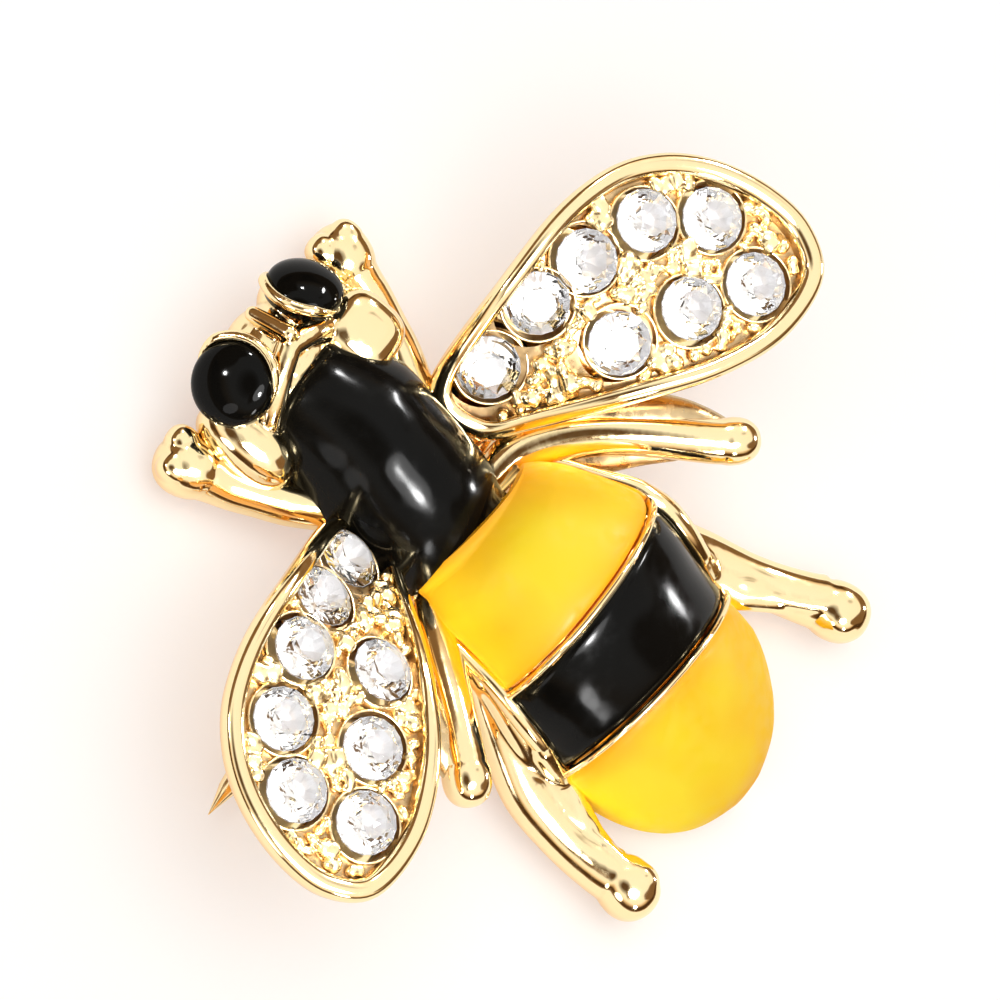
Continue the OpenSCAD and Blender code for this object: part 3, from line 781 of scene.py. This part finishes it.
class BEE_OT_stage(bpy.types.Operator):
    """Set the floor, the lamps, the studio's dome and the camera"""
    bl_idname = "bee.stage"
    bl_label = "Stage"
    bl_options = {"REGISTER", "UNDO"}

    def execute(self, context):
        s = sizes("bee_stage")
        scene = context.scene
        sensor = 36
        data = bpy.data.cameras.new("photo_camera")
        data.sensor_width = sensor
        data.lens = sensor*s.distance/s.view_width
        data.clip_start, data.clip_end = 0.01, 5
        scene.camera = place_object("photo_camera", data)
        scene.camera.matrix_world = (
            Matrix.Translation(Vector(CAMERA_TARGET)*MM + Vector(CAMERA_BACK)*s.distance*MM)
            @ Matrix((CAMERA_RIGHT, CAMERA_UP, CAMERA_BACK)).transposed().to_4x4())
        scene.view_settings.view_transform = "Standard"
        scene.view_settings.look = "None"

        half = 1.2    # metres
        mesh = bpy.data.meshes.new("floor")
        mesh.from_pydata([(-half, -half, 0), (half, -half, 0), (half, half, 0), (-half, half, 0)],
                         [], [(0, 1, 2, 3)])
        mesh.materials.append(finish("floor_white"))
        place_object("floor", mesh)

        scene.world = bpy.data.worlds.new("studio")
        scene.world.use_nodes = True
        tree = scene.world.node_tree
        where = node(tree, "TexCoord", {}).outputs["Generated"]
        height = node(tree, "SeparateXYZ", {"Vector": where}).outputs["Z"]
        ramp = node(tree, "ValToRGB", {"Fac": height})
        while len(ramp.color_ramp.elements) < len(DOME):
            ramp.color_ramp.elements.new(0.5)
        for element, (position, rgb) in zip(ramp.color_ramp.elements, DOME):
            element.position = position
            element.color = (*rgb, 1)
        # The dark of the room behind the camera, and uneven dark flags lower down
        facing = node(tree, "VectorMath", {0: where, 1: CAMERA_BACK}, operation="DOT_PRODUCT")
        flags = node(tree, "TexNoise", {"Vector": where, "Scale": 1.5, "Detail": 0})
        room = mix(tree, spread(tree, facing.outputs["Value"], 0.90, 0.985), ramp.outputs["Color"],
                   (0.10, 0.055, 0.025))
        room = mix(tree, spread(tree, flags.outputs["Fac"], 0.56, 0.62), room, (0.20, 0.11, 0.05))
        sky = next(n for n in tree.nodes if n.type == "BACKGROUND")
        feed(tree, room, sky.inputs["Color"])
        feed(tree, s.sky, sky.inputs["Strength"])

        self.lamp("lamp_fill", (-0.2, 0.1, 1), 90, 90, 0, s.fill).visible_glossy = False
        for name, way, across, along, turn, bright in SOFTBOXES:
            box = self.lamp(name, way, across, along, turn, bright*s.lamps)
            box.visible_diffuse = False
            box.visible_transmission = name not in ("lamp_halo", "lamp_wide")
        return {"FINISHED"}

    def lamp(self, name, way, across, along, turn, bright):
        away = 0.5    # metres
        way = Vector(way).normalized()
        data = bpy.data.lights.new(name, "AREA")
        data.shape = "ELLIPSE"
        data.size, data.size_y = (2*away*math.tan(math.radians(a/2)) for a in (across, along))
        data.energy = bright*math.pi*data.size*data.size_y*math.pi/4
        lamp = place_object(name, data)
        lamp.location = way*away
        lamp.rotation_euler = ((-way).to_track_quat("-Z", "Y").to_matrix()
                               @ Matrix.Rotation(math.radians(turn), 3, "Z")).to_euler()
        return lamp


class BEE_OT_body_metal(bpy.types.Operator):
    """Make the cast body under the enamel, its raised lines and its edges"""
    bl_idname = "bee.body_metal"
    bl_label = "Body metal"
    bl_options = {"REGISTER", "UNDO"}

    def execute(self, context):
        b = sizes("bee_body")
        thorax, abdomen = trunks()
        line = borders()
        shape = Shape()

        def ring(trunk, y, inset):
            edge = trunk.edge(y)
            return [trunk.point(y, a, inset if edge < a < 180 - edge else 0) for a in range(0, 360, 5)]

        neck, tail = b.waist + b.thorax_length, b.waist - b.abdomen_length
        under_enamel, under_waist = 0.3, 0.9
        shape.loft([ring(abdomen, y, under_enamel) for y in even(b.waist, tail + 0.02, 64)])
        shape.loft([ring(thorax, y, under_enamel if y > b.waist + 0.6 else under_waist)
                    for y in even(neck, b.waist - 0.9, 60)])
        for name, wide in (("first", 0.58), ("second", 0.66)):
            y = line[name](0)
            edge = abdomen.edge(y)
            path = [abdomen.point(line[name](abdomen.point(y, a)[0]), a, 0.02)
                    for a in even(edge - 4, 184 - edge, 90)]
            shape.tube(path, (b.line_width*wide, b.line_width*0.33), 14, up=(0, 1, 0))
        # The rail beside the enamel, wider behind; on the right it stands further out
        steps = 60
        for side, wider, out in ((1, 1.1, 0.30), (-1, 0.6, 0)):
            path, halves = [], []
            for i, y in enumerate(even(line["front_start"](0), line["second"](0), steps)):
                behind = within((line["first"](0) + 1.6 - y)/2.5)
                path.append(abdomen.flank(y, side, abdomen.edge(y) - RAIL_DROP, 0.02 + out*behind))
                size = min(1, (steps - i)/9)*(1 + wider*within((i/steps - 0.25)/0.3))
                halves.append((0.22*size, 0.25*size))
            shape.tube(path, halves, 12)
        dress(shape.build("body_metal"), "polished_gold")
        return {"FINISHED"}


class BEE_OT_enamel(bpy.types.Operator):
    """Fill the four enamel fields"""
    bl_idname = "bee.enamel"
    bl_label = "Enamel fields"
    bl_options = {"REGISTER", "UNDO"}

    def execute(self, context):
        half = sizes("bee_body").line_width/2
        thorax, abdomen = trunks()
        line = borders()

        def beside(name, way):
            return lambda x: line[name](x) + way*half

        for name, trunk, start, end, hue, along in (
                ("thorax_enamel", thorax, line["neck"], line["thorax_end"], "black", 72),
                ("front_enamel", abdomen, line["front_start"], beside("first", 1), "yellow", 48),
                ("band_enamel", abdomen, beside("first", -1), beside("second", 1), "black", 48),
                ("tail_enamel", abdomen, beside("second", -1), line["tail"], "yellow", 72)):
            shape, near = enamel_field(trunk, start, end, along)
            piece = dress(shape.build(name + "_field"), "fired_" + hue, [name], sharp=60)
            piece.data.attributes.new("near_edge", "FLOAT", "POINT").data.foreach_set("value", near)
        return {"FINISHED"}


class BEE_OT_wings(bpy.types.Operator):
    """Make both wings: rimmed trays, stone collars and gold grains"""
    bl_idname = "bee.wings"
    bl_label = "Wings"
    bl_options = {"REGISTER", "UNDO"}

    def execute(self, context):
        wing = Wing()
        stone = sizes("bee_stone")
        hole = stone.diameter/2 + stone.gap
        outside = hole + stone.collar
        cup = ((outside, -0.78), (outside, -0.50), (hole + stone.collar*0.5, -0.42), (hole, -0.46))
        # Each well's wall is gold darkened almost to black, the painted shadow of the gap round its stone
        well = ((hole, -0.46), (hole - 0.02, -0.60), (hole - 0.06, -1.25))
        tray, floor, cups, wells = Shape(), Shape(), Shape(), Shape()
        tray.loft([wing.ring(*row) for row in RIM_ROWS], capped=False)
        add_plate(tray, wing, *RIM_ROWS[0])
        floor.loft([wing.ring(*row) for row in WALL_ROWS], capped=False)
        add_plate(floor, wing, *WALL_ROWS[-1], wing.stones, hole)
        for u, v in wing.stones:
            for shape, profile in ((cups, cup), (wells, well)):
                shape.lathe(profile, (0, 0, 0), wing.stone_matrix(u, v), 40, capped=False)
        grains = self.grains(wing, hole)
        for side in ("right", "left"):
            for shape, label, finish_name in (
                    (tray, "tray", "polished_gold"), (floor, "floor", "shaded_gold"),
                    # The cups' gold is darkened as painted shade, the wells' gold almost to black as
                    # painted shadow
                    (cups, "cups", "recessed_gold"), (wells, "wells", "blackened_gold"),
                    (grains, "grains", "grained_gold")):
                piece = (shape if side == "right" else shape.mirrored()).build(f"wing_{label}_{side}")
                dress(fuse(piece, voxel=0.075, smoothing=1) if shape is grains else piece, finish_name)
        return {"FINISHED"}

    def grains(self, wing, clear):
        """Uneven nuggets of gold heaped on the floor between the stones."""
        s = wing.s
        draw = random.Random(sizes("bee_stage").seed)
        ring = wing.flat_ring(1.12)
        jitter, row_share, left_out = 0.3, 0.87, 0.04
        shape = Shape()
        rows = int(s.wing_width/s.grain_pitch) + 1
        for i in range(int(s.wing_length*1.05/s.grain_pitch) + 2):
            for j in range(-rows, rows):
                u = (i + 0.5*(j % 2) + draw.uniform(-jitter, jitter))*s.grain_pitch
                v = (j + draw.uniform(-jitter, jitter))*s.grain_pitch*row_share
                r = s.grain_size*draw.uniform(0.65, 1.25)
                turn = Matrix.Rotation(draw.uniform(0, math.pi), 3, "Z")
                flat, square, up = draw.uniform(0.6, 1), draw.uniform(0.55, 1), draw.uniform(-0.08, 0.16)
                if draw.random() < left_out or not inside((u, v), ring):
                    continue
                if all(math.dist((u, v), c) >= clear + r*0.45 for c in wing.stones):
                    shape.ball(wing.point(u, v, 0.62 - up), (r*1.1, r*flat, r*0.95), turn, square, 12)
        return shape


class BEE_OT_stones(bpy.types.Operator):
    """Cut the sixteen round stones and silver them behind"""
    bl_idname = "bee.stones"
    bl_label = "Stones"
    bl_options = {"REGISTER", "UNDO"}

    def execute(self, context):
        wing = Wing()
        s = sizes("bee_stone")
        stone, foil = self.cut(s)
        foils = Shape()
        draw = random.Random(sizes("bee_stage").seed)
        for n, (u, v) in enumerate(wing.stones):
            way = draw.uniform(0, 2*math.pi)
            matrix = (wing.stone_matrix(u, v)
                      @ Matrix.Translation((s.aside*math.cos(way), s.aside*math.sin(way), -s.sink))
                      @ Matrix.Rotation(math.radians(11 + 37*n), 4, "Z"))
            placed, back = stone.moved(matrix), foil.moved(matrix)
            for side, made, behind in (("right", placed, back),
                                       ("left", placed.mirrored(), back.mirrored())):
                foils.add(behind.points, behind.faces)
                name = f"stone_{side}_{n + 1}"
                dress(made.build(f"cut_{name}"), "stone_glass", [name], smooth=False)
        dress(foils.build("stone_foils"), "foil_silver", (), smooth=False)
        return {"FINISHED"}

    def cut(self, s):
        """A round brilliant with its girdle's top at Z 0, and the foil behind it."""
        r, crown, girdle = s.diameter/2, s.height*0.30, s.height*0.06
        pavilion = s.height - crown - girdle
        grow = 1.015    # the foil beside the stone

        def ring(radius, z, n, start=0.0):
            return [(radius*math.cos(2*math.pi*(k + start)/n),
                     radius*math.sin(2*math.pi*(k + start)/n), z) for k in range(n)]

        above = (ring(r*s.table, crown, 8, 0.5) + ring(r*(s.table + (1 - s.table)*0.52), crown*0.50, 8)
                 + ring(r, 0.0, 16))
        below = (ring(r, -girdle, 16) + ring(r*0.34, -girdle - pavilion*0.72, 8, 0.5)
                 + [(0, 0, -girdle - pavilion)])
        # Where the points start of table, stars, girdle's top and foot, lower ring and tip
        T, S, H, L, B, C = 0, 8, 16, 32, 48, 56
        faces, under = [tuple(range(8))], []
        for k in range(8):
            j = (k + 1) % 8
            faces += [(T + (k - 1) % 8, S + k, T + k), (T + k, S + k, H + 2*k + 1, S + j),
                      (S + k, H + 2*k, H + 2*k + 1), (S + k, H + (2*k - 1) % 16, H + 2*k)]
            under += [(B + k, L + 2*k + 1, L + 2*k), (B + k, L + (2*k + 2) % 16, L + 2*k + 1),
                      (L + (2*k + 2) % 16, B + k, B + j), (B + k, C, B + j)]
        faces += [(H + k, L + k, L + (k + 1) % 16, H + (k + 1) % 16) for k in range(16)]
        return (Shape(above + below, faces + under),
                Shape([tuple(c*grow for c in p) for p in below], [tuple(i - L for i in f) for f in under]))


class BEE_OT_head(bpy.types.Operator):
    """Model the head with its eye sockets, face ridge, collar and shoulders"""
    bl_idname = "bee.head"
    bl_label = "Head"
    bl_options = {"REGISTER", "UNDO"}

    def execute(self, context):
        h = sizes("bee_head")
        shape = Shape()
        for place, half, square in HEAD_BALLS:
            shape.ball(place, half, square=square)
        # The ridge between the eyes, then each side's collar, cheek and socket
        shape.capsule((0.25, 12.35, 3.30), (0.2, 11.1, 4.25), 0.30, 0.36)
        for side in (-1, 1):
            shape.tube(smooth_rows(((side*2.5, 9.2, 2.6), (side*1.9, 9.75, 3.3), (side*1.0, 10.35, 3.85),
                                    (0.0, 10.75, 4.05)), 6), (0.46, 0.38))
            shape.ball((side*1.9, 11.3, 2.3), (1.2, 1.2, 1.2))
            turn = eye_turn(side)
            place, r = eye_place(side)
            shape.lathe(((0.02, -1.7), (r - 0.35, -1.7), (r - 0.22, -0.9), (r - 0.14, -0.34),
                         (r - 0.18, -0.25), (0.02, -0.5)), place, turn, 40)
            # The socket's lip, thick towards the face and gone on the outside
            rings = []
            for t in even(0, 2*math.pi, 49):
                facing = -math.cos(t + h.lip_turn) if side > 0 else math.cos(t - h.lip_turn)
                share = within((facing + 0.25)/0.95)
                thick = 0.03 + 0.17*share
                out = r - 0.14 + 0.10*share + thick
                c = Vector((math.cos(t), math.sin(t), 0))
                rings.append([place + turn @ (c*(out + thick*math.cos(a)) + Vector(
                    (0, 0, -0.42 + 0.52*share + thick*1.15*math.sin(a)))) for a in circle(12)])
            shape.loft(rings, capped=False)
        dress(fuse(shape.build("head_metal"), h.detail, smoothing=3), "polished_gold")
        return {"FINISHED"}


def eye_place(side):
    """The middle of an eye's base and its radius."""
    h = sizes("bee_head")
    shift, share = EYES["eye_right" if side > 0 else "eye_left"]
    return Vector((side*h.eye_x, h.eye_y, h.eye_z)) + Vector(shift), h.eye_diameter/2*share


def eye_turn(side):
    """How an eye's own frame is turned: out to the side and forward."""
    h = sizes("bee_head")
    turn = Matrix.Rotation(h.eye_out, 3, "Y") @ Matrix.Rotation(-h.eye_ahead, 3, "X")
    flip = Matrix(((side, 0, 0), (0, 1, 0), (0, 0, 1)))
    return flip @ turn @ flip


class BEE_OT_eyes(bpy.types.Operator):
    """Set the two cabochon eyes"""
    bl_idname = "bee.eyes"
    bl_label = "Eyes"
    bl_options = {"REGISTER", "UNDO"}

    def execute(self, context):
        for side, name in ((-1, "eye_left"), (1, "eye_right")):
            place, r = eye_place(side)
            dome = [(max(r*math.cos(t), 0.01), -0.05 + 0.75*math.sin(t)) for t in even(0, math.pi/2, 16)]
            foot = [(0.01, -0.6), (r*0.9, -0.6), (r - 0.02, -0.5)]
            shape = Shape().lathe(foot + dome, place, eye_turn(side), 64)
            dress(shape.build(name + "_cabochon"), "eye_black", [name], sharp=50)
        return {"FINISHED"}


class BEE_OT_legs(bpy.types.Operator):
    """Model the six legs with their thick feet"""
    bl_idname = "bee.legs"
    bl_label = "Legs"
    bl_options = {"REGISTER", "UNDO"}

    def execute(self, context):
        for name, (rows, (foot, half)) in LEGS.items():
            for side, label in ((1, "right"), (-1, "left")):
                bent = BENT_FEET.get(f"{name}_{label}", (0, 0, 0, 0))
                shape = self.leg(name, rows, foot, half, side, bent)
                smoothing = 16 if name == "hind_leg" else 3
                dress(fuse(shape.build(f"{name}_{label}"), 0.07, smoothing), "polished_gold")
                if name == "middle_leg":
                    self.strand(side, label, bent)
        self.hollow(LEGS["middle_leg"][0])
        return {"FINISHED"}

    def strand(self, side, label, bent):
        """The second strand that runs up from a middle foot to the wing's underside."""
        rows = smooth_rows(((4.4, 2.3, 2.9), (5.5, 0.7, 3.4), (6.6, -0.8, 4.05), (7.5, -2.3, 4.35),
                            (8.1, -3.8, 4.3)), 6)
        halves = [(0.50 + 0.25*math.sin(math.pi*k/len(rows)), 0.36) for k in range(len(rows))]
        shape = Shape().tube([(side*x + bent[0], y + bent[1], z) for x, y, z in rows], halves, 20)
        # Its gold is darkened to amber as painted shade of the wing above it
        dress(shape.build(f"middle_strand_{label}"), "amber_gold", sharp=60)

    def hollow(self, rows):
        """A tube of shaded gold between the right middle leg and the abdomen, a dark piece put there as
        painted shade of the gap.
        """
        path = smooth_rows([(x - 0.1, y + 0.1, z - 0.35) for x, y, z, _, _ in rows[:5]], 5)
        shape = Shape().tube(path, [(0.95 - 0.45*k/len(path), 0.4) for k in range(len(path))], 20)
        dress(shape.build("middle_hollow_right"), "shaded_gold", sharp=60)

    def leg(self, name, rows, foot, half, side, bent):
        def place(x, y, z, share):
            wave = math.sin(math.pi*min(share, 1))
            return (side*x + bent[0]*share**2 + bent[2]*wave,
                    y + bent[1]*share**2 + 1.6*bent[3]*wave*max(0, 1 - share), z)

        def by_foot(x, y, z):
            return place(foot[0] + x, foot[1] + y, foot[2] + z, 1)

        points = smooth_rows(rows, 6)
        last = len(points) - 1
        shape = Shape()
        shape.tube([place(*p[:3], i/last) for i, p in enumerate(points)], [p[3:] for p in points], 24)
        ahead = Vector(foot) - Vector(rows[2][:3])
        turn = Matrix.Rotation(math.atan2(-side*ahead.x, ahead.y), 3, "Z")
        shape.ball(by_foot(0, 0, 0), half, turn, 0.9)
        if name == "hind_leg":
            # A ridge along the upper side that runs out on the foot
            ridge = smooth_rows([(x - 0.62*w, y + 0.1, z + 0.70*h) for x, y, z, w, h in rows[:-1]]
                                + [(foot[0] - 0.35, foot[1] + 0.5, foot[2] + 0.75)], 5)
            shape.tube([place(*p, i/(len(ridge) - 1)) for i, p in enumerate(ridge)], (0.26, 0.26), 12)
            shape.ball(by_foot(-0.30, -0.10, 0.55), (0.72, 0.78, 0.62))
            # The web that closes the leg to the abdomen and runs out on the foot
            abdomen = trunks()[1]
            web, web_front, web_back, web_drop = [], -2.4, -8.6, 4
            for i, p in enumerate(points):
                x, y, z = place(*p[:3], i/last)
                if web_back < y < web_front:
                    rail = abdomen.flank(y, side, max(abdomen.edge(y), 0) - web_drop, 0.02)
                    web.append(((rail[0] + x - side*0.35)/2, y, max(rail[2], z + p[4]*0.9) - 0.45))
            web += [place(5.75, -9.3, 1.6, 0.78), place(6.15, -10.2, 1.55, 0.9)]
            shape.tube(web, (0.62, 0.5), 20)
            # The abdomen's rail runs out along the leg
            path = [abdomen.flank(y, side, abdomen.edge(y) - RAIL_DROP, 0.02 if side < 0 else 0.3)
                    for y in even(-4.6, -7.3, 10)]
            path += [(side*5.10, -7.9, 1.62), (side*5.45, -8.5, 1.66), (side*5.85, -9.2, 1.60),
                     (side*6.15, -9.9, 1.45)]
            path = smooth_rows(path, 3)
            grown = [min(1, (i + 1)/12) for i in range(len(path))]
            shape.tube(path, [(0.48*g, 0.46*g) for g in grown])
        if name == "front_leg":
            # The foot's two lobes
            for lobe in ((-0.45, 0.75, 0.35), (0.50, 0.45, 0.40)):
                shape.ball(by_foot(*lobe), (0.62, 0.66, 0.60), square=0.85)
        return shape


class BEE_OT_pin(bpy.types.Operator):
    """Model the pin: wire, point, posts and knuckles"""
    bl_idname = "bee.pin"
    bl_label = "Pin"
    bl_options = {"REGISTER", "UNDO"}

    def execute(self, context):
        p = sizes("bee_pin")
        y = sizes("bee_body").waist + 1.3
        r = p.wire/2
        shape = Shape()
        xs = [p.post_x, *even(p.post_x - 0.5, 1.8 - p.reach, 12), *even(1.2 - p.reach, 0.3 - p.reach, 4),
              -p.reach]
        radii = [r]*13 + [r*0.85, r*0.62, r*0.42, r*0.22, 0.02]
        shape.tube([(x, y, p.height) for x in xs], [(q, q) for q in radii], 20)
        r, top, edge = p.post/2, 3.85 - p.height, 0.12
        for side in (-1, 1):
            foot = (side*p.post_x, y, p.height)
            shape.lathe(((0.02, 0), (r*0.8, 0), (r, 0.2), (r*0.86, 0.7), (r*0.8, top - 0.5), (r, top),
                         (0.02, top)), foot, Matrix.Identity(3), 28)
            shape.lathe(((0.02, -r), (r - edge, -r), (r, -r + edge), (r, r - edge), (r - edge, r),
                         (0.02, r)), foot, Matrix.Rotation(math.pi/2, 3, "X"), 28)
        dress(shape.build("pin"), "wire_gold", ["brooch_pin"], sharp=50)
        return {"FINISHED"}


MAKERS = (BEE_OT_stage, BEE_OT_body_metal, BEE_OT_enamel, BEE_OT_wings, BEE_OT_stones,
          BEE_OT_head, BEE_OT_eyes, BEE_OT_legs, BEE_OT_pin)


class BEE_PT_panel(bpy.types.Panel):
    """Lists the makers of the brooch's pieces"""
    bl_idname = "BEE_PT_panel"
    bl_label = "Bee brooch"
    bl_space_type = "VIEW_3D"
    bl_region_type = "UI"
    bl_category = "Bee brooch"

    def draw(self, context):
        for maker in MAKERS:
            self.layout.operator(maker.bl_idname, text=maker.bl_label)


def register():
    for name, group in GROUPS:
        bpy.utils.register_class(group)
        setattr(bpy.types.Scene, name, PointerProperty(type=group))
    for maker in MAKERS:
        bpy.utils.register_class(maker)
    bpy.utils.register_class(BEE_PT_panel)


def unregister():
    bpy.utils.unregister_class(BEE_PT_panel)
    for maker in reversed(MAKERS):
        bpy.utils.unregister_class(maker)
    for name, group in reversed(GROUPS):
        delattr(bpy.types.Scene, name)
        bpy.utils.unregister_class(group)


def main():
    register()
    for maker in MAKERS:
        area, name = maker.bl_idname.split(".")
        getattr(getattr(bpy.ops, area), name)()


if __name__ == "__main__":
    main()
